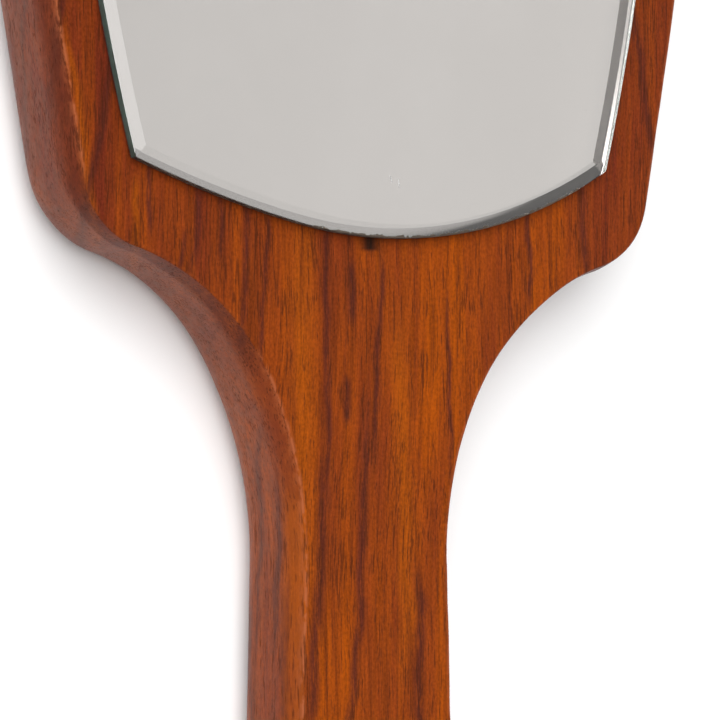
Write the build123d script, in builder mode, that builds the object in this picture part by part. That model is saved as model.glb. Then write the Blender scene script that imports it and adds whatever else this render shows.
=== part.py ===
"""Hand mirror: a solid teak paddle with a bevelled mirror glass bonded to its flat front.

The mirror lies on its back.  The flat back is on z = 0, the glass faces +Z, the head points
to +Y and the handle to -Y.  The origin is under the middle of the whole outline.
Lengths are in millimetres, angles in degrees.
"""
from build123d import *
from math import cos, radians, sin
import os

# ---- wood: outline at its widest section, drawn from the neck of the handle ----
neck_half_width = 14.9
handle_flare = 1.3             # the handle widens by this angle from the neck to its butt
flank_length = 74.0
butt_corner_radius = 10.0
butt_corner_turn = 70.0
neck_radius = 57.7             # hollow curve that leaves the neck towards the head
neck_turn = 27.4
shoulder_radius = 38.2         # tighter hollow under the head
shoulder_turn = 47.1
head_corner_radius = 14.3      # lower corner of the head
side_lean = 10.3               # the straight part of the head's side leans outwards
side_straight = 29.0
side_radius = 431.5            # above it the side is one long curve
side_turn = 11.4
top_corner_radius = 20.0
top_corner_turn = 72.4

# ---- wood: section ----
body_thickness = 18.0
edge_ease_in = 1.5             # eased front edge: this far in across the face
edge_ease_down = 3.6           # and this far down the side
edge_ease_blend = 8.0          # radius that melts the eased edge into the side
back_edge_radius = 6.0

# ---- glass, in its own frame: the middle between its lower corners is near the origin ----
glass_thickness = 2.1
bevel_width = 1.8
bevel_drop = 0.55
glass_low_x = -14.8            # cut by hand: two arcs, flatter on the left, meet at this point
glass_low_y = -9.6
glass_low_slope = 12.6         # the lower edge still falls towards the right by this angle there
glass_low_right_radius = 80.9
glass_low_right_turn = 44.0
glass_low_left_radius = 198.0
glass_low_left_turn = 9.2
glass_side_lean = 15.0
glass_side_radius = 400.0
glass_side_turn = 16.7
glass_top_radius = 170.0
glass_turn = 0.7               # bonded by hand: a little turned
glass_shift = -0.6             # and a little off the centre line
glass_from_neck = 62.7         # from the neck to the glass's own origin

# ---- layers between the wood and the glass ----
adhesive_thickness = 0.30
paint_thickness = 0.08
silver_thickness = 0.04
dab_radius = 11.0
dab_spacing_x = 50.0
dab_spacing_y = 42.0
dab_rows = 3
dab_centre_y = 54.0            # from the glass's own origin

paint_z = body_thickness + adhesive_thickness
silver_z = paint_z + paint_thickness
glass_z = silver_z + silver_thickness


def leaning(angle):
    """Unit vector that points up the right-hand side and leans outwards by this angle."""
    return (sin(radians(angle)), cos(radians(angle)))


def arc_to_middle(start, slope):
    """Shallow arc from start, where it slopes by this angle, over to its mirror image."""
    crown = start.X * (1 - cos(radians(slope))) / sin(radians(slope))
    ThreePointArc(start, (0, start.Y + crown), (-start.X, start.Y))


def save(piece, name):
    """Label the finished piece and write it as one STEP file."""
    piece.part.label = name
    export_step(piece.part, "parts/" + name + ".step")


os.makedirs("parts", exist_ok=True)

# ---- outline of the paddle, with its neck on y = 0 ----
with BuildSketch() as paddle:
    with BuildLine():
        neck = (neck_half_width, 0)
        hollow_turn = -(handle_flare + neck_turn)
        corner_turn = neck_turn + shoulder_turn - side_lean
        hollow = JernArc(neck, leaning(-handle_flare), neck_radius, hollow_turn)
        shoulder = JernArc(hollow @ 1, hollow % 1, shoulder_radius, -shoulder_turn)
        head_corner = JernArc(shoulder @ 1, shoulder % 1, head_corner_radius, corner_turn)
        side = PolarLine(head_corner @ 1, side_straight, direction=head_corner % 1)
        upper_side = JernArc(side @ 1, side % 1, side_radius, side_turn)
        top_corner = JernArc(upper_side @ 1, upper_side % 1, top_corner_radius, top_corner_turn)
        flank = PolarLine(neck, flank_length, direction=leaning(180 - handle_flare))
        butt_corner = JernArc(flank @ 1, flank % 1, butt_corner_radius, -butt_corner_turn)
        mirror([hollow, shoulder, head_corner, side, upper_side, top_corner], about=Plane.YZ)
        mirror([flank, butt_corner], about=Plane.YZ)
        arc_to_middle(top_corner @ 1, 90 - top_corner_turn - side_turn + side_lean)
        arc_to_middle(butt_corner @ 1, butt_corner_turn - handle_flare - 90)
    make_face()
neck_y = -paddle.sketch.bounding_box().center().Y

# ---- wood body: one solid piece of teak ----
with BuildPart() as wood_body:
    with BuildSketch(Plane((0, neck_y, 0))):
        add(paddle.sketch)
    extrude(amount=body_thickness)
    fillet(wood_body.faces().sort_by(Axis.Z)[0].edges(), back_edge_radius)
    front = wood_body.faces().sort_by(Axis.Z)[-1]
    chamfer(front.edges(), edge_ease_in, edge_ease_down, reference=front)
    ease_z = body_thickness - edge_ease_down
    ease_foot = wood_body.edges().filter_by_position(Axis.Z, ease_z - 0.01, ease_z + 0.01)
    fillet(ease_foot, edge_ease_blend)
save(wood_body, "wood_body")

# ---- the shape shared by the glass, its silver and its paint ----
with BuildSketch() as glass_shape:
    with BuildLine():
        low_point = (glass_low_x, glass_low_y)
        low_lean = 90 + glass_low_slope
        low_right = JernArc(low_point, leaning(low_lean), glass_low_right_radius, glass_low_right_turn)
        low_left = JernArc(low_point, leaning(low_lean - 180), glass_low_left_radius, -glass_low_left_turn)
        right_side = JernArc(low_right @ 1, leaning(glass_side_lean), glass_side_radius, glass_side_turn)
        left_side = JernArc(low_left @ 1, leaning(-glass_side_lean), glass_side_radius, -glass_side_turn)
        RadiusArc(left_side @ 1, right_side @ 1, glass_top_radius)
    make_face()
bond = Plane((glass_shift, neck_y + glass_from_neck, 0), x_dir=leaning(90 - glass_turn))

# ---- adhesive: round dabs squeezed flat between the wood and the paint ----
with BuildPart() as adhesive_dabs:
    with BuildSketch(bond.offset(body_thickness)):
        with Locations((0, dab_centre_y)):
            with GridLocations(dab_spacing_x, dab_spacing_y, 2, dab_rows):
                Circle(dab_radius)
    extrude(amount=adhesive_thickness)
save(adhesive_dabs, "adhesive_dabs")

# ---- backing paint that seals the silver ----
with BuildPart() as backing_paint:
    with BuildSketch(bond.offset(paint_z)):
        add(glass_shape.sketch)
    extrude(amount=paint_thickness)
save(backing_paint, "backing_paint")

# ---- silver: the reflecting layer on the back of the glass ----
with BuildPart() as silver_layer:
    with BuildSketch(bond.offset(silver_z)):
        add(glass_shape.sketch)
    extrude(amount=silver_thickness)
save(silver_layer, "silver_layer")

# ---- mirror glass: a flat plate with a narrow bevel ground all round its front ----
with BuildPart() as mirror_glass:
    with BuildSketch(bond.offset(glass_z)):
        add(glass_shape.sketch)
    extrude(amount=glass_thickness)
    pane = mirror_glass.faces().sort_by(Axis.Z)[-1]
    chamfer(pane.edges(), bevel_width, bevel_drop, reference=pane)
save(mirror_glass, "mirror_glass")
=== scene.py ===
"""Looks of the hand mirror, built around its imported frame.  Lengths are metres, angles degrees.

The mirror lies on its back on z = 0: the glass faces +Z, the head points to +Y and the handle
to -Y.  The wood and the glass are rebuilt here with finer edges than the CAD solids have.  The
silver, the paint and the adhesive are the CAD nodes themselves, with better materials.
"""
from math import atan2, ceil, copysign, cos, degrees, radians, sin, sqrt, tan

import bpy
from mathutils import Matrix, Vector, noise


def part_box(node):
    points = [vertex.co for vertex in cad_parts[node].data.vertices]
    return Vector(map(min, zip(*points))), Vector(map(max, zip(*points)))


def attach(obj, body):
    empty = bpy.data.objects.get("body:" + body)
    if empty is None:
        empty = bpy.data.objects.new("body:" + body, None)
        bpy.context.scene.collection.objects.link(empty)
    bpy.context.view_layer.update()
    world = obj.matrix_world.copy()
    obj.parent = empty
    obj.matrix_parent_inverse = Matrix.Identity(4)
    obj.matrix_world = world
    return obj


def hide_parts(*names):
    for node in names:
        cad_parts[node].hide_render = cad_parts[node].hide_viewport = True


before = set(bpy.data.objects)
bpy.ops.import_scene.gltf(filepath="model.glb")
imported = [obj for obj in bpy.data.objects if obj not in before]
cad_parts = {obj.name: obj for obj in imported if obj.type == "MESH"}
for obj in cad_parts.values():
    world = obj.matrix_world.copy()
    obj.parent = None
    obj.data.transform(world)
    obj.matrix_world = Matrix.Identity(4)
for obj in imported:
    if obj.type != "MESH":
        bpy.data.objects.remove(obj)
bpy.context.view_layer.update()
wood_low, wood_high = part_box("wood_body")
glass_low, glass_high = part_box("mirror_glass")

MM = 0.001

# ---- wood: outline at its widest section, from the neck up and from the neck down ----
NECK_HALF_WIDTH = 14.9 * MM
HANDLE_FLARE = 1.3
FLANK_LENGTH = 74.0 * MM
BUTT_CORNER = (10.0 * MM, 70.0)          # radius and turn
NECK_HOLLOW = (57.7 * MM, 27.4)
SHOULDER = (38.2 * MM, 47.1)
HEAD_CORNER_RADIUS = 14.3 * MM
SIDE_LEAN = 10.3
SIDE_STRAIGHT = 29.0 * MM
UPPER_SIDE = (431.5 * MM, 11.4)
TOP_CORNER = (20.0 * MM, 72.4)

# ---- wood: section of the edge ----
EASE_IN = 1.5 * MM
EASE_DOWN = 3.6 * MM
EASE_BLEND = 8.0 * MM
RIDGE_RADIUS = 0.35 * MM
BACK_RADIUS = 6.0 * MM
FACE_MARGIN = 0.4 * MM                   # flat strip beside each rounded edge, keeps it crisp
EDGE_STEPS = (1, 5, 2, 6, 4, 12, 1)      # faces across each run of the section, front to back
EDGE_PARTS = {                           # masks over the edge, by its layers from the front round: the ridge's wear and painted highlight, the facet, and the painted sheen on the sides
    "ridge_wear_and_highlight": [0, 0.6, 0.9, 1, 1, 0.9, 0.6, 0.1],
    "facet": [0, 0, 0, 0, 0.2, 0.6, 0.9, 1, 1, 0.9, 0.7, 0.5, 0.3, 0.1],
    "side_sheen": [0] * 7 + [0.05, 0.1, 0.15, 0.25, 0.35, 0.45, 0.55, 0.65, 0.75, 0.85] + [1.1] * 14,
}
RIDGE_WANDER = 0.28 * MM                 # the eased edge was shaped by hand
RIDGE_DRIFT = [(17 * MM, 1.5, 1.0), (6 * MM, 4.5, 0.5)]      # size, seed and share of its waves
RIDGE_DROP = [(23 * MM, 8.5, 1.0), (7 * MM, 2.5, 0.4)]
LEFT_TRIM = 1.2 * MM                     # the lower left corner was shaped a little smaller
RIGHT_FULLNESS = (0.3 * MM, 0.75 * MM)   # the right edge was eased less, least on the shoulder
LEFT_TRIM_REACH = (26 * MM, 49 * MM, 62 * MM)    # start, peak and end, upwards from the neck
SHOULDER_REACH = (17 * MM, 40 * MM, 50 * MM)
POINT_SPACING = 1.3 * MM
FINEST_TURN = 4.0
FACE_COLUMNS = 24

# ---- colours of the teak, linear ----
DARK_TEAK = (0.122, 0.0168, 0.0060)
PALE_TEAK = (0.286, 0.0510, 0.0009)
PALE_STREAK_TEAK = (0.315, 0.0640, 0.0012)
GROWTH_LINE_TEAK = (0.095, 0.0165, 0.0035)
DARK_STREAK_TEAK = (0.060, 0.0115, 0.0080)
KNOT_TEAK = (0.012, 0.005, 0.004)
PORE_TEAK = (0.045, 0.009, 0.003)
# colours of the eased facet: painted shade, darker on the neck and darkest on the head
HANDLE_FACET = (0.25, 0.050, 0.004)
SHADED_NECK_FACET = (0.155, 0.026, 0.007)
SHADED_HEAD_FACET = (0.070, 0.012, 0.006)
# painted sheen on the sides: the grazing reflection of the pale room, put into the colour
SIDE_SHEEN_TEAK = (0.22, 0.115, 0.088)
# painted highlight along the ridge, with some wear
WORN_LIT_RIDGE = (0.33, 0.090, 0.035)
RING_SLANT = 0.6                         # the growth rings lean this much with depth

# ---- streaks along the grain of the teak: x, y, length, half width in millimetres, and lean ----
DARK_STREAKS = [
    (-9.2, -24, 62, 1.1, 0.01), (-11.2, -62, 56, 1.7, 0.06), (0.2, -24, 44, 1.1, 0.06),
    (-3.4, -58, 66, 1.5, 0.06), (-24.7, -11, 34, 1.3, 0.02), (-20.9, -13, 32, 0.9, 0.05),
    (41.2, -1, 26, 1.4, 0.0), (8.5, -74, 40, 1.8, -0.05), (-4.7, -14, 12, 1.3, 0.0),
    (-5.9, -31, 9, 1.4, 0.0), (-50.0, 14, 60, 1.4, 0.2), (-56.0, 40, 70, 1.6, 0.15),
    (30.0, -6, 22, 1.1, 0.0), (-34.0, -2, 26, 1.2, 0.05), (52.0, 30, 60, 1.5, -0.15),
    (-18.6, -56, 34, 1.0, 0.0), (14.0, -30, 40, 0.8, -0.03), (3.0, 150, 60, 1.4, 0.02),
    (-30.0, 130, 50, 1.3, 0.0), (12.0, -112, 40, 1.2, 0.03), (-7.0, -118, 46, 1.4, 0.0),
    (-17.0, -86, 60, 0.9, 0.0), (-16.5, -70, 30, 0.7, 0.0),
    (-64.5, 22, 50, 0.9, 0.0), (-67.0, 8, 36, 0.8, 0.0), (-21.5, -52, 44, 0.7, 0.02),
    (-23.0, -84, 60, 0.9, -0.01), (-19.3, -100, 50, 0.8, 0.0), (-29.5, -4, 16, 1.0, 0.0),
    (-42.5, 0, 16, 0.9, 0.0), (-36.4, -8.5, 8, 0.8, 0.0),
]
PALE_STREAKS = [
    (-14.0, -34, 90, 4.5, 0.02), (-54.4, 9, 40, 1.5, -0.18), (-44.7, -5, 18, 1.2, 0.0),
    (5.0, -46, 70, 3.0, -0.03), (36.0, 130, 60, 3.0, 0.0), (-2.0, -110, 50, 2.5, 0.0),
]
KNOTS = [(-1.3, -6.3, 3.0, 3.0, 0.0)]

SCRATCHES = [(1.9, 3.9, 1.4, 0.16, -0.25), (3.4, 3.3, 1.8, 0.16, -0.15)]   # in the silver

# ---- glass, in its own frame near the middle between its lower corners ----
GLASS_LOW_POINT = (-14.8 * MM, -9.6 * MM)   # two arcs, flatter on the left, meet here
GLASS_LOW_SLOPE = 12.6
GLASS_LOW_RIGHT = (80.9 * MM, 44.0)
GLASS_LOW_LEFT = (198.0 * MM, 9.2)
GLASS_SIDE_LEAN = 15.0
GLASS_SIDE = (400.0 * MM, 16.7)
GLASS_TOP_RADIUS = 170.0 * MM
GLASS_TURN = 0.7
GLASS_SHIFT = -0.6 * MM
GLASS_FROM_NECK = 62.7 * MM
BEVEL_WIDTH = 1.8 * MM
BEVEL_DROP = 0.55 * MM
LOW_BEVEL = 0.2                          # the lower edge's bevel is larger by this share
LOW_BEVEL_FADE = 5                       # steps past a lower corner over which that ends
BEVEL_CROWN = 0.35                       # on the lower right it is steeper outside by this share
BEVEL_CROWN_REACH = (0.4, 0.75, 1.0)     # along the lower edge
BEVEL_STATIONS = (0.1, 0.3, 0.5, 0.75, 1.0)
RUBBED_REACH = (0.25, 0.6, 1.05)         # along the lower edge, where it is rubbed and darker brown
RUBBED_LEVELS = [1.0, 1.0, 1.0, 1.0, 0.6]    # how rubbed each level is, from the back up
ARRIS = 0.10 * MM                        # the sharp outer edges are rubbed off this much
ARRIS_IN = ARRIS * 0.7                   # the bevel starts this far in
CREASE_ANGLE = 6                         # a larger angle between two faces stays sharp
SILVER_GAP = 0.01 * MM                   # keeps the glass's back off the silver's face
GLASS_STEPS = 28

# ---- camera: on the left of the mirror, looking down on it ----
VIEW_AZIMUTH = 183.41                    # from +X towards +Y, to the camera
VIEW_ELEVATION = 55.22
VIEW_ROLL = -0.09
VIEW_DISTANCE = 706.5 * MM
VIEW_AIM = Vector((-3.21 * MM, -24.71 * MM, wood_high.z))
LENS, SENSOR_WIDTH = 225.0, 36.0         # millimetres


# ------------------------------------------------------------------ outlines

def leaning(angle):
    """Unit vector up the right-hand side that leans outwards by this angle."""
    return Vector((sin(radians(angle)), cos(radians(angle))))


def walk(start, lean, moves):
    """Stops (point, lean) along straights (None, length, steps) and arcs (radius, turn, steps).

    Turns are clockwise, as the lean is.
    """
    stops = [(Vector(start), lean)]
    for radius, amount, steps in moves:
        point, lean = stops[-1]
        shares = [(i + 1) / steps for i in range(steps)]
        if radius is None:
            stops += [(point + leaning(lean) * amount * share, lean) for share in shares]
            continue
        side = copysign(90, amount)
        centre = point + leaning(lean + side) * radius
        leans = [lean + amount * share for share in shares]
        stops += [(centre - leaning(turned + side) * radius, turned) for turned in leans]
    return stops


def straight(length):
    return None, length, ceil(length / POINT_SPACING)


def bend(radius, turn):
    size = abs(turn)
    return radius, turn, ceil(max(radius * radians(size) / POINT_SPACING, size / FINEST_TURN))


def closed_at_middle(stops, end_lean):
    """The stops, and a shallow arc from the last one to the centre line."""
    point, lean = stops[-1]
    turn = end_lean - lean
    radius = point.x / sin(radians(abs(turn)))
    return stops + walk(point, lean, [bend(radius, turn)])[1:]


def paddle_side():
    """Right-hand half of the outline, bottom to top, as (point, outward normal), neck on y = 0."""
    corner_turn = NECK_HOLLOW[1] + SHOULDER[1] - SIDE_LEAN
    neck = (NECK_HALF_WIDTH, 0)
    up = walk(neck, -HANDLE_FLARE, [
        bend(NECK_HOLLOW[0], HANDLE_FLARE + NECK_HOLLOW[1]),
        bend(*SHOULDER),
        bend(HEAD_CORNER_RADIUS, -corner_turn),
        straight(SIDE_STRAIGHT),
        bend(UPPER_SIDE[0], -UPPER_SIDE[1]),
        bend(TOP_CORNER[0], -TOP_CORNER[1]),
    ])
    down = walk(neck, 180 - HANDLE_FLARE, [straight(FLANK_LENGTH), bend(*BUTT_CORNER)])
    up = closed_at_middle(up, -90)
    down = closed_at_middle(down, 270)
    side = [(point, leaning(lean - 90)) for point, lean in reversed(down)]
    side += [(point, leaning(lean + 90)) for point, lean in up[1:]]
    for end in (0, -1):
        side[end][0].x = 0
    return side


def edge_section(ease_in, ease_down):
    """Section of the wood's edge from the front face round to the back, as (inset, height)."""
    slope = degrees(atan2(ease_down, ease_in))
    ridge_leg = RIDGE_RADIUS * tan(radians(slope / 2))
    blend_leg = EASE_BLEND * tan(radians((90 - slope) / 2))
    facet = sqrt(ease_in ** 2 + ease_down ** 2) - ridge_leg - blend_leg
    wall = wood_high.z - ease_down - blend_leg - BACK_RADIUS
    runs = [
        (None, FACE_MARGIN),
        (RIDGE_RADIUS, slope),
        (None, facet),
        (EASE_BLEND, 90 - slope),
        (None, wall),
        (BACK_RADIUS, 90),
        (None, FACE_MARGIN),
    ]
    stops = walk((-ease_in - ridge_leg - FACE_MARGIN, wood_high.z), 90,
                 [(*run, steps) for run, steps in zip(runs, EDGE_STEPS)])
    return [(-point.x, point.y) for point, lean in stops]


# ------------------------------------------------------------------ meshes

def new_piece(name, points, faces, materials):
    mesh = bpy.data.meshes.new(name)
    mesh.from_pydata([tuple(p) for p in points], [], faces)
    mesh.validate()
    for material in materials:
        mesh.materials.append(material)
    piece = bpy.data.objects.new(name, mesh)
    bpy.context.scene.collection.objects.link(piece)
    return piece


def wander(point, waves):
    """Slow noise over the outline, summed from waves of (size, seed, share)."""
    return sum(share * noise.noise(Vector((point.x / size, point.y / size, seed)))
               for size, seed, share in waves)


def hump(value, start, peak, end):
    """Smooth hill: 0 outside start and end, 1 at the peak."""
    share = (value - start) / (peak - start) if value < peak else (end - value) / (end - peak)
    share = min(max(share, 0.0), 1.0)
    return share * share * (3 - 2 * share)


def plateau(value, reach):
    """A hump with steeper sides and a level top."""
    return min(1.0, 2.5 * hump(value, *reach))


def hand_shaping(point):
    """How far the outline moves in here, and how much the eased edge narrows."""
    if point.x < 0:
        trimmed = hump(point.y, *LEFT_TRIM_REACH) * LEFT_TRIM
        return trimmed, trimmed
    off_centre = min(point.x / NECK_HALF_WIDTH, 1.0)
    everywhere, on_shoulder = RIGHT_FULLNESS
    return 0.0, off_centre * everywhere + hump(point.y, *SHOULDER_REACH) * on_shoulder


def neck_place(side):
    """Y of the neck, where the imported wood's lowest point puts it."""
    return wood_low.y - min(point.y for point, normal in side)


def wood_piece(material):
    """The paddle: one swept edge, closed by a grid of faces on its front and on its back."""
    side = paddle_side()
    lift = neck_place(side)
    ring = side + [(Vector((-p.x, p.y)), Vector((-n.x, n.y))) for p, n in reversed(side[1:-1])]
    count, rows = len(ring), len(side) - 1
    points, faces = [], []
    for point, normal in ring:
        drift, drop = wander(point, RIDGE_DRIFT), wander(point, RIDGE_DROP)
        trimmed, narrowed = hand_shaping(point)
        ease_in = EASE_IN + RIDGE_WANDER * drift * (1 - narrowed / EASE_IN) - narrowed
        section = edge_section(ease_in, EASE_DOWN + 2 * RIDGE_WANDER * drop)
        for inset, height in section:
            place = point - normal * (inset + trimmed)
            points.append((place.x, place.y + lift, height))
    layers = len(section)
    for i in range(count):
        here, after = i * layers, (i + 1) % count * layers
        faces += [(here + k, here + k + 1, after + k + 1, after + k) for k in range(layers - 1)]
    for layer, flip in ((0, False), (layers - 1, True)):
        faces += face_grid(points, count, rows, layers, layer, flip)
    piece = new_piece("teak_paddle", points, faces, [material])
    piece.data.shade_smooth()
    for name, values in EDGE_PARTS.items():
        ring_values = (values + [0.0] * (layers - len(values))) * count
        part = piece.data.attributes.new(name, "FLOAT", "POINT")
        part.data.foreach_set("value", ring_values + [0.0] * (len(points) - len(ring_values)))
    return piece


def face_grid(points, count, rows, layers, layer, flip):
    """Quads across the flat face inside one layer of the swept edge.  New points are appended."""
    def edge(i):
        return (i % count) * layers + layer

    lines = [[edge(0)] * (FACE_COLUMNS + 1)]
    for i in range(1, rows):
        right, left = edge(i), edge(count - i)
        line = [left]
        for k in range(1, FACE_COLUMNS):
            share = k / FACE_COLUMNS
            points.append(tuple(Vector(points[left]).lerp(Vector(points[right]), share)))
            line.append(len(points) - 1)
        lines.append(line + [right])
    lines.append([edge(rows)] * (FACE_COLUMNS + 1))
    made = []
    for low, high in zip(lines, lines[1:]):
        for k in range(FACE_COLUMNS):
            corners = [low[k], low[k + 1], high[k + 1], high[k]]
            face = list(dict.fromkeys(corners))
            made.append(tuple(reversed(face)) if flip else tuple(face))
    return made


def circle_through(start, end, radius):
    """Centre of the circle through two points, on the left of the way from start to end."""
    half = (end - start) / 2
    reach = sqrt(radius ** 2 - half.length_squared)
    return start + half + Vector((-half.y, half.x)).normalized() * reach


def meeting(first, second, near):
    """Where two circles (centre, radius) cross, nearest to a point; near itself if they touch."""
    (a, ra), (b, rb) = first, second
    between = b - a
    along = (between.length_squared + ra ** 2 - rb ** 2) / (2 * between.length)
    squared = ra ** 2 - along ** 2
    way = between.normalized()
    middle = a + way * along
    across = Vector((-way.y, way.x)) * sqrt(max(squared, 0))
    return min((middle + across, middle - across), key=lambda spot: (spot - near).length)


def glass_outline():
    """Where the glass's edges meet, anticlockwise, and each edge's circle and number of steps."""
    low_lean = 90 + GLASS_LOW_SLOPE
    low = Vector(GLASS_LOW_POINT)
    low_right = walk(low, low_lean, [(GLASS_LOW_RIGHT[0], -GLASS_LOW_RIGHT[1], 1)])[-1][0]
    low_left = walk(low, low_lean - 180, [(GLASS_LOW_LEFT[0], GLASS_LOW_LEFT[1], 1)])[-1][0]
    radius, turn = GLASS_SIDE
    right = walk(low_right, GLASS_SIDE_LEAN, [(radius, -turn, 1)])[-1][0]
    left = walk(low_left, -GLASS_SIDE_LEAN, [(radius, turn, 1)])[-1][0]
    corners = [low_left, low, low_right, right, left]
    radii = [GLASS_LOW_LEFT[0], GLASS_LOW_RIGHT[0], radius, GLASS_TOP_RADIUS, radius]
    first = GLASS_STEPS // 3
    steps = [first, GLASS_STEPS - first, GLASS_STEPS, GLASS_STEPS, GLASS_STEPS]
    ends = corners[1:] + corners[:1]
    circles = [(circle_through(a, b, r), r) for a, b, r in zip(corners, ends, radii)]
    return corners, circles, steps


def glass_ring(outline, inset):
    """Points round the glass's outline, moved inwards; every ring has the same number."""
    corners, circles, steps = outline
    insets = [inset * (1 + LOW_BEVEL)] * 2 + [inset] * 3
    inner = [(centre, radius - moved) for (centre, radius), moved in zip(circles, insets)]
    turned = [meeting(inner[i - 1], inner[i], corners[i]) for i in range(len(inner))]
    ring = []
    for i, (centre, radius) in enumerate(inner):
        start, end = turned[i] - centre, turned[(i + 1) % len(inner)] - centre
        first = atan2(start.y, start.x)
        sweep = start.angle_signed(end)
        for k in range(steps[i]):
            angle = first - sweep * k / steps[i]
            ring.append(centre + Vector((cos(angle), sin(angle))) * radius)
    return ring


def glass_piece(material):
    """A flat plate with sharp corners, a narrow bevel round its front and rubbed outer edges."""
    outline = glass_outline()
    floor, top = glass_low.z + SILVER_GAP, glass_high.z
    shoulder = top - BEVEL_DROP
    fall = BEVEL_DROP * LOW_BEVEL
    levels = [(ARRIS / 2, floor, 0, 0), (0, floor + ARRIS / 2, 0, 0),
              (0, shoulder - ARRIS, fall, 0), (ARRIS_IN, shoulder, fall, 0)]
    for share in BEVEL_STATIONS:
        levels.append((ARRIS_IN + (BEVEL_WIDTH - ARRIS_IN) * share,
                       shoulder + BEVEL_DROP * share, fall * (1 - share),
                       BEVEL_DROP * BEVEL_CROWN * share * (1 - share)))
    turn = Matrix.Rotation(radians(GLASS_TURN), 2)
    place = Vector((GLASS_SHIFT, neck_place(paddle_side()) + GLASS_FROM_NECK))
    points, faces = [], []
    count = 4 * GLASS_STEPS
    for inset, height, lower, crown in levels:
        for i, point in enumerate(glass_ring(outline, inset)):
            spot = turn @ point + place
            beyond = min(max(i - GLASS_STEPS, 0), count - i)     # steps past a lower corner
            deeper = max(0.0, 1 - beyond / LOW_BEVEL_FADE)
            crowned = plateau(i / GLASS_STEPS, BEVEL_CROWN_REACH)
            points.append((spot.x, spot.y, height - lower * deeper + crown * crowned))
    for level in range(len(levels) - 1):
        low, high = level * count, (level + 1) * count
        faces += [(low + i, low + (i + 1) % count, high + (i + 1) % count, high + i)
                  for i in range(count)]
    faces += patch(points, 0, True)
    faces += patch(points, (len(levels) - 1) * count, False)
    piece = new_piece("bevelled_glass", points, faces, [material])
    piece.data.shade_smooth()
    piece.data.set_sharp_from_angle(angle=radians(CREASE_ANGLE))
    rubbed = RUBBED_LEVELS + [0.0] * (len(levels) - len(RUBBED_LEVELS))
    places = [plateau(i / GLASS_STEPS, RUBBED_REACH) for i in range(count)]
    values = [value * there for value in rubbed for there in places]
    part = piece.data.attributes.new("rubbed", "FLOAT", "POINT")
    part.data.foreach_set("value", values + [0.0] * (len(points) - len(values)))
    return piece


def patch(points, first, flip):
    """A four-sided grid of quads inside one ring of the glass.  New points are appended."""
    n = GLASS_STEPS
    bottom = [first + k for k in range(n + 1)]
    right = [first + n + k for k in range(n + 1)]
    top = [first + 3 * n - k for k in range(n + 1)]
    left = [first + (4 * n - k) % (4 * n) for k in range(n + 1)]
    grid = {(k, 0): bottom[k] for k in range(n + 1)}
    grid.update({(k, n): top[k] for k in range(n + 1)})
    grid.update({(0, k): left[k] for k in range(n + 1)})
    grid.update({(n, k): right[k] for k in range(n + 1)})
    spot = {key: Vector(points[index]) for key, index in grid.items()}
    for i in range(1, n):
        for j in range(1, n):
            u, v = i / n, j / n
            across = spot[i, 0] * (1 - v) + spot[i, n] * v
            along = spot[0, j] * (1 - u) + spot[n, j] * u
            low = spot[0, 0] * (1 - u) + spot[n, 0] * u
            high = spot[0, n] * (1 - u) + spot[n, n] * u
            points.append(tuple(across + along - low * (1 - v) - high * v))
            grid[i, j] = len(points) - 1
    made = []
    for i in range(n):
        for j in range(n):
            face = (grid[i, j], grid[i + 1, j], grid[i + 1, j + 1], grid[i, j + 1])
            made.append(tuple(reversed(face)) if flip else face)
    return made


# ------------------------------------------------------------------ materials

class Shader:
    """A node material under construction.  Places are object coordinates in millimetres."""

    @classmethod
    def of_tree(cls, tree):
        """A helper for a tree that isn't a material's."""
        made = cls.__new__(cls)
        made.tree = tree
        return made

    def __init__(self, name):
        self.material = bpy.data.materials.new(name)
        self.material.use_nodes = True
        self.tree = self.material.node_tree
        self.surface = self.tree.nodes["Principled BSDF"]
        position = self.tree.nodes.new("ShaderNodeTexCoord").outputs["Object"]
        self.place = self.vector("SCALE", position, scale=1 / MM)

    def add(self, kind, inputs, output=0, **settings):
        made = self.tree.nodes.new("ShaderNode" + kind)
        for key, value in settings.items():
            setattr(made, key, value)
        for key, value in inputs.items():
            self.give(made.inputs[key], value)
        return made.outputs[output]

    def give(self, socket, value):
        if isinstance(value, bpy.types.NodeSocket):
            self.tree.links.new(value, socket)
        elif socket.type == "RGBA":
            socket.default_value = (*value, 1)
        else:
            socket.default_value = value

    def vector(self, operation, a, b=None, scale=None):
        inputs = {0: a}
        if b is not None:
            inputs[1] = b
        if scale is not None:
            inputs["Scale"] = scale
        return self.add("VectorMath", inputs, operation=operation)

    def math(self, operation, a, b=0.0):
        return self.add("Math", {0: a, 1: b}, operation=operation)

    def noise(self, place, size, detail=2.0, roughness=0.5, distortion=0.0, shift=0.0):
        """Noise from 0 to 1 whose blobs have this size in millimetres along X, Y and Z."""
        scale = tuple(1 / s for s in size)
        moved = self.add("Mapping", {"Vector": place, "Scale": scale, "Location": (shift,) * 3})
        return self.add("TexNoise", {"Vector": moved, "Scale": 1.0, "Detail": detail,
                                     "Roughness": roughness, "Distortion": distortion})

    def attribute(self, name):
        return self.add("Attribute", {}, output="Fac", attribute_name=name)

    def between(self, value, low, high, to_low=0.0, to_high=1.0, smooth=True):
        """The value's way from low to high, clamped, as to_low to to_high."""
        kind = "SMOOTHSTEP" if smooth else "LINEAR"
        return self.add("MapRange", {"Value": value, "From Min": low, "From Max": high,
                                     "To Min": to_low, "To Max": to_high},
                        interpolation_type=kind)

    def mix(self, share, a, b, blend="MIX"):
        return self.add("Mix", {0: share, 6: a, 7: b}, output=2, data_type="RGBA",
                        blend_type=blend)

    def set(self, **inputs):
        for key, value in inputs.items():
            self.give(self.surface.inputs[key.replace("_", " ")], value)

    def bump(self, height, strength, distance):
        normal = self.add("Bump", {"Height": height, "Strength": strength, "Distance": distance})
        self.give(self.surface.inputs["Normal"], normal)


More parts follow.
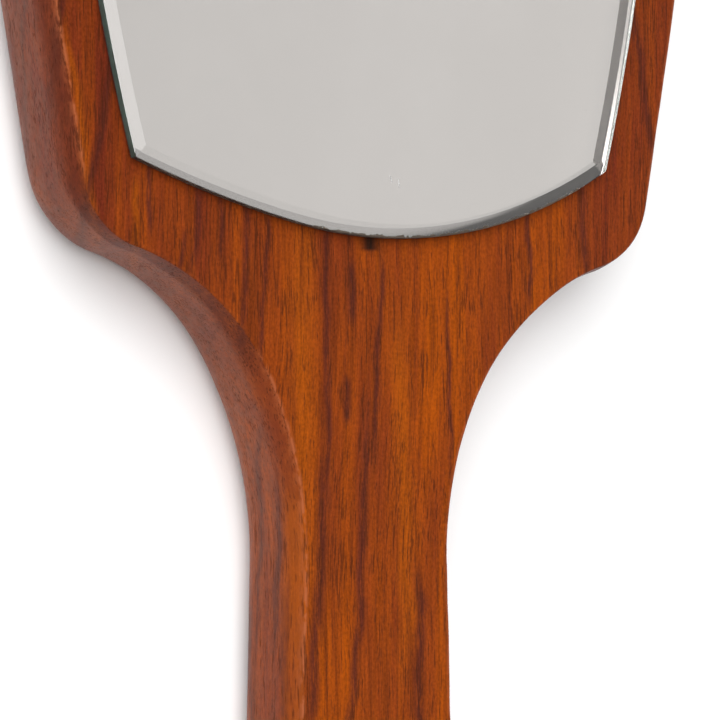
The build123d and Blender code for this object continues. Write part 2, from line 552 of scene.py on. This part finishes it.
def streaks(s, across, along, places):
    """Mask of streaks along the grain; the coordinates are in millimetres."""
    total = 0.0
    for x, y, length, width, lean in places:
        off = s.math("SUBTRACT", along, y)
        middle = s.math("ADD", s.math("MULTIPLY", off, lean), x)
        away = s.math("ABSOLUTE", s.math("SUBTRACT", across, middle))
        body = s.between(away, 0.0, width, 1.0, 0.0)
        ends = s.between(s.math("ABSOLUTE", off), 0.25 * length, 0.5 * length, 1.0, 0.0)
        total = s.math("MAXIMUM", total, s.math("MULTIPLY", body, ends))
    return total


def teak():
    """Oiled teak, grain along Y: broad tones, fine lines, dark streaks and pores; painted shade on
    the eased facet of the neck and head, painted sheen on the sides and a painted highlight with
    some wear along the ridge.
    """
    s = Shader("oiled_teak")
    drift = s.noise(s.place, (34, 80, 34), detail=1, shift=3.1)
    bow = s.between(drift, 0.25, 0.75, -1.5, 1.5, smooth=False)
    grain = s.vector("ADD", s.place, s.add("CombineXYZ", {"X": bow, "Z": bow}))
    x, along, z = [s.add("SeparateXYZ", {0: s.place}, output=i) for i in range(3)]
    depth = s.math("SUBTRACT", wood_high.z / MM, z)
    across = s.math("SUBTRACT", x, s.math("MULTIPLY", depth, RING_SLANT))

    rim = s.between(s.math("ABSOLUTE", s.math("ADD", x, -6.0)), 22.0, 54.0, 0.0, 0.16)
    broad = s.noise(grain, (10, 90, 14), detail=2, roughness=0.55, shift=7.7)
    band = s.noise(grain, (2.4, 46, 3.0), detail=2, roughness=0.6, shift=1.3)
    tone = s.math("ADD", s.math("MULTIPLY", broad, 0.55), s.math("MULTIPLY", band, 0.45))
    tone = s.math("SUBTRACT", tone, rim)
    colour = s.mix(s.between(tone, 0.27, 0.63, smooth=False), DARK_TEAK, PALE_TEAK)

    sway = s.noise(s.place, (26, 15, 26), detail=2, shift=5.0)
    swayed = s.math("ADD", across, s.between(sway, 0.3, 0.7, -0.8, 0.8, smooth=False))
    pale = streaks(s, swayed, along, PALE_STREAKS)
    colour = s.mix(s.math("MULTIPLY", pale, 0.6), colour, PALE_STREAK_TEAK)

    lines = s.noise(grain, (1.3, 40, 1.8), detail=2, roughness=0.6, shift=11.0)
    colour = s.mix(s.between(lines, 0.53, 0.66, 0.0, 0.45), colour, GROWTH_LINE_TEAK)

    dark = streaks(s, swayed, along, DARK_STREAKS)
    broken = s.noise(grain, (0.45, 4, 0.45), detail=3, roughness=0.7, shift=8.0)
    dark = s.math("MULTIPLY", dark, s.between(broken, 0.34, 0.54, 0.40, 1.0))
    colour = s.mix(s.math("MULTIPLY", dark, 0.85), colour, DARK_STREAK_TEAK)
    colour = s.mix(streaks(s, x, along, KNOTS), colour, KNOT_TEAK)

    fibre = s.noise(grain, (0.50, 13, 0.55), detail=4, roughness=0.75, shift=2.0)
    speckle = s.noise(s.place, (0.36, 0.6, 0.36), detail=1, shift=12.0)
    shade = s.math("ADD", s.between(fibre, 0.3, 0.7, 0.69, 1.31, smooth=False),
                   s.between(speckle, 0.3, 0.7, -0.18, 0.18, smooth=False))
    colour = s.mix(1.0, colour, s.add("CombineColor", {0: shade, 1: shade, 2: shade}), "MULTIPLY")

    dashes = s.noise(grain, (0.29, 4.6, 0.29), detail=2, roughness=0.6, shift=9.0)
    crowd = s.noise(grain, (2.6, 22, 2.6), detail=2, shift=6.0)
    pore = s.between(s.math("ADD", dashes, s.math("MULTIPLY", crowd, 0.30)), 0.70, 0.80)

    mottle = s.noise(s.place, (1.1, 2.6, 1.1), detail=3, roughness=0.65, shift=4.0)
    head = s.between(along, -50.0, -43.0)
    upper = s.between(along, -30.0, -20.0)
    shoulder = s.math("MULTIPLY", upper, s.between(along, 0.0, 7.0, 1.0, 0.0))
    # The eased facet gets its own colour by place, darker on the neck and darkest on the head:
    # painted shade.
    facet = s.math("MULTIPLY", s.attribute("facet"),
                   s.between(mottle, 0.35, 0.62, 1.0, 0.55))
    facet_shade_colour = s.mix(upper, SHADED_NECK_FACET, SHADED_HEAD_FACET)
    facet_shade_colour = s.mix(head, HANDLE_FACET, facet_shade_colour)
    colour = s.mix(s.math("MULTIPLY", facet, 0.75), colour, facet_shade_colour)
    # The sides pale towards a milky colour: painted sheen, growing towards the back and weaker on
    # the handle.
    painted_sheen = s.math("MULTIPLY", s.attribute("side_sheen"),
                  s.between(mottle, 0.30, 0.70, 0.20, 0.42))
    painted_sheen = s.math("MULTIPLY", painted_sheen, s.between(along, -70.0, -30.0, 0.35, 1.0))
    colour = s.mix(painted_sheen, colour, SIDE_SHEEN_TEAK)
    # A lighter line along the ridge: painted highlight with some wear, fainter on the shoulder.
    worn_and_lit = s.math("MULTIPLY", s.attribute("ridge_wear_and_highlight"),
                  s.between(mottle, 0.36, 0.58, 0.1, 0.9))
    worn_and_lit = s.math("MULTIPLY", worn_and_lit, s.between(shoulder, 0.0, 1.0, 0.9, 0.12))
    colour = s.mix(worn_and_lit, colour, WORN_LIT_RIDGE)
    # the pores show less where the sheen is painted
    seen = s.between(painted_sheen, 0.0, 0.45, 0.62, 0.30, smooth=False)
    colour = s.mix(s.math("MULTIPLY", pore, seen), colour, PORE_TEAK)

    s.set(Base_Color=colour, IOR=1.25, Specular_Tint=(1.0, 0.45, 0.15), Sheen_Weight=0.03)
    rough = s.between(fibre, 0.2, 0.8, 0.38, 0.52, smooth=False)
    s.set(Roughness=s.math("ADD", rough, s.math("MULTIPLY", pore, 0.2)))
    height = s.math("SUBTRACT", s.math("MULTIPLY", fibre, 0.35), pore)
    s.bump(height, 0.35, 0.05 * MM)
    return s.material


def glass():
    """Clear plate glass: its ground outer edge is rougher and green, and darker brown on the walls
    facing along Y and where rubbed at the bottom.
    """
    s = Shader("plate_glass")
    normal = s.add("NewGeometry", {}, output="True Normal")
    facing_y, facing_z = [s.math("ABSOLUTE", s.add("SeparateXYZ", {0: normal}, output=i))
                          for i in (1, 2)]
    wall = s.between(facing_z, 0.30, 0.45, 1.0, 0.0)
    low_wall = s.between(facing_y, 0.5, 0.7)
    height = s.add("SeparateXYZ", {0: s.place}, output=2)
    back = glass_low.z / MM
    front = s.between(height, back + 0.5, back + 0.8)
    chips = s.noise(s.place, (1.1, 1.1, 1.1), detail=3, roughness=0.65, shift=2.5)
    rubbed = s.math("ADD", s.attribute("rubbed"),
                    s.between(chips, 0.3, 0.7, -0.45, 0.45, smooth=False))
    rubbed = s.math("MULTIPLY", s.between(rubbed, 0.40, 0.62), front)
    edge = s.math("MAXIMUM", wall, rubbed)
    grind = s.noise(s.place, (0.8, 0.8, 0.8), detail=2)
    rough = s.math("MULTIPLY", edge, s.between(grind, 0.3, 0.7, 0.50, 0.62))
    # The walls facing along Y and the rubbed lower edge are tinted darker brown.
    green, dark_brown = (0.27, 0.62, 0.46), (0.14, 0.080, 0.045)
    tint = s.mix(s.math("MAXIMUM", low_wall, rubbed), green, dark_brown)
    s.set(Base_Color=s.mix(edge, (1, 1, 1), tint), IOR=1.52, Roughness=rough)
    s.surface.inputs["Transmission Weight"].default_value = 1.0
    volume = s.tree.nodes.new("ShaderNodeVolumeAbsorption")
    volume.inputs["Color"].default_value = (0.62, 0.86, 0.74, 1)
    volume.inputs["Density"].default_value = 14.0
    out = s.tree.nodes["Material Output"]
    s.tree.links.new(volume.outputs[0], out.inputs["Volume"])
    return s.material


def silver():
    """The reflecting coat: bright, with a faint haze and a few hairline scratches."""
    s = Shader("silvering")
    haze = s.noise(s.place, (22, 30, 22), detail=3)
    fleck = s.between(s.noise(s.place, (0.5, 0.5, 0.5), detail=1, shift=4.0), 0.80, 0.84)
    colour = s.mix(s.between(haze, 0.3, 0.7), (0.870, 0.815, 0.785), (0.895, 0.840, 0.810))
    colour = s.mix(fleck, colour, (0.5, 0.47, 0.44))
    x, y = [s.add("SeparateXYZ", {0: s.place}, output=i) for i in range(2)]
    scratch = streaks(s, x, y, SCRATCHES)
    s.set(Base_Color=s.mix(scratch, colour, (0.95, 0.94, 0.92)),
          Roughness=s.math("ADD", s.between(haze, 0.3, 0.7, 0.012, 0.03),
                           s.math("MULTIPLY", scratch, 0.5)),
          Metallic=s.math("SUBTRACT", 1.0, s.math("MULTIPLY", scratch, 0.7)))
    return s.material


def backing_paint():
    """Grey-brown sealing paint, rolled on: mottled, with a slight orange peel."""
    s = Shader("sealing_paint")
    mottle = s.noise(s.place, (3, 3, 3), detail=4)
    peel = s.noise(s.place, (0.35, 0.35, 0.35), detail=1)
    s.set(Base_Color=s.mix(mottle, (0.055, 0.05, 0.048), (0.10, 0.092, 0.085)),
          Roughness=s.between(mottle, 0.3, 0.7, 0.45, 0.65))
    s.bump(peel, 0.4, 0.05 * MM)
    return s.material


def adhesive():
    """Dark mastic: dull, lumpy where it was squeezed out."""
    s = Shader("mastic")
    lumps = s.noise(s.place, (1.6, 1.6, 1.6), detail=3)
    s.set(Base_Color=s.mix(lumps, (0.06, 0.05, 0.04), (0.13, 0.11, 0.09)),
          Roughness=s.between(lumps, 0.3, 0.7, 0.55, 0.8))
    s.bump(lumps, 0.6, 0.2 * MM)
    return s.material


def paper():
    """The pale seamless floor."""
    s = Shader("floor_paper")
    fibre = s.noise(s.place, (4, 4, 4), detail=3)
    s.set(Base_Color=s.mix(fibre, (0.90, 0.90, 0.90), (0.915, 0.915, 0.915)), Roughness=0.9)
    s.surface.inputs["Specular IOR Level"].default_value = 0.1
    return s.material


# ------------------------------------------------------------------ stage, lights and camera

def make_floor():
    reach = 6.0
    floor = new_piece("floor", [(-reach, -reach, 0), (reach, -reach, 0), (reach, reach, 0),
                                (-reach, reach, 0)], [(0, 1, 2, 3)], [paper()])


def make_sky():
    """A white room with wide, soft lights: lobes by direction, core and edge angle, strength.

    The last number is the height, on the unit sphere, that the lobe ends at.
    """
    wall, wall_top, endless = (0.825, -0.471, -0.312), 0.868, 1.1
    lobes = [((-0.38, 0.36, 0.85), 20, 42, 4.4, endless),    # softbox over the left shoulder
             (wall, 89.2, 91.5, 0.27, wall_top),             # pale wall on the right: a sharp edge
             (wall, 86.0, 90.0, 0.15, wall_top),             # and a soft one within it
             ((0.72, 0.0, 0.69), 8, 24, 0.16, wall_top)]     # its brightest part
    room, horizon, soft = 0.115, 0.7, 0.01
    world = bpy.data.worlds.new("studio")
    bpy.context.scene.world = world
    world.use_nodes = True
    s = Shader.of_tree(world.node_tree)
    direction = s.tree.nodes.new("ShaderNodeTexCoord").outputs["Generated"]
    height = s.math("ABSOLUTE", s.add("SeparateXYZ", {0: direction}, output=2))
    total = s.between(height, 0.10, 0.45, room + horizon, room)
    for way, core, edge, strength, ceiling in lobes:
        facing = s.add("VectorMath", {0: direction, 1: Vector(way).normalized()}, output="Value",
                       operation="DOT_PRODUCT")
        lobe = s.between(facing, cos(radians(edge)), cos(radians(core)), 0.0, strength)
        below = s.between(height, ceiling - soft, ceiling + soft, 1.0, 0.0)
        total = s.math("ADD", total, s.math("MULTIPLY", lobe, below))
    background = s.tree.nodes["Background"]
    background.inputs["Color"].default_value = (1.0, 1.0, 1.0, 1)
    s.give(background.inputs["Strength"], total)


def make_camera():
    lift, turn = radians(VIEW_ELEVATION), radians(VIEW_AZIMUTH)
    back = Vector((cos(lift) * cos(turn), cos(lift) * sin(turn), sin(lift)))
    right = (-back).cross(Vector((0, 1, 0))).normalized()
    up = right.cross(-back)
    roll = radians(VIEW_ROLL)
    right, up = right * cos(roll) + up * sin(roll), up * cos(roll) - right * sin(roll)
    data = bpy.data.cameras.new("photo_view")
    data.lens, data.sensor_width = LENS, SENSOR_WIDTH
    data.clip_start, data.clip_end = 0.01, 20.0
    camera = bpy.data.objects.new("photo_view", data)
    bpy.context.scene.collection.objects.link(camera)
    camera.matrix_world = Matrix.Translation(VIEW_AIM + back * VIEW_DISTANCE) @ Matrix(
        (right, up, back)).transposed().to_4x4()
    bpy.context.scene.camera = camera


# ------------------------------------------------------------------ assembly

make_camera()
make_sky()
make_floor()
bpy.context.scene.view_settings.view_transform = "Standard"

paddle = wood_piece(teak())
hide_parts("wood_body")
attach(paddle, "root")

pane = glass_piece(glass())
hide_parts("mirror_glass")
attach(pane, "root")

for node, material in (("silver_layer", silver()), ("backing_paint", backing_paint()),
                       ("adhesive_dabs", adhesive())):
    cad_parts[node].data.materials.clear()
    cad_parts[node].data.materials.append(material)
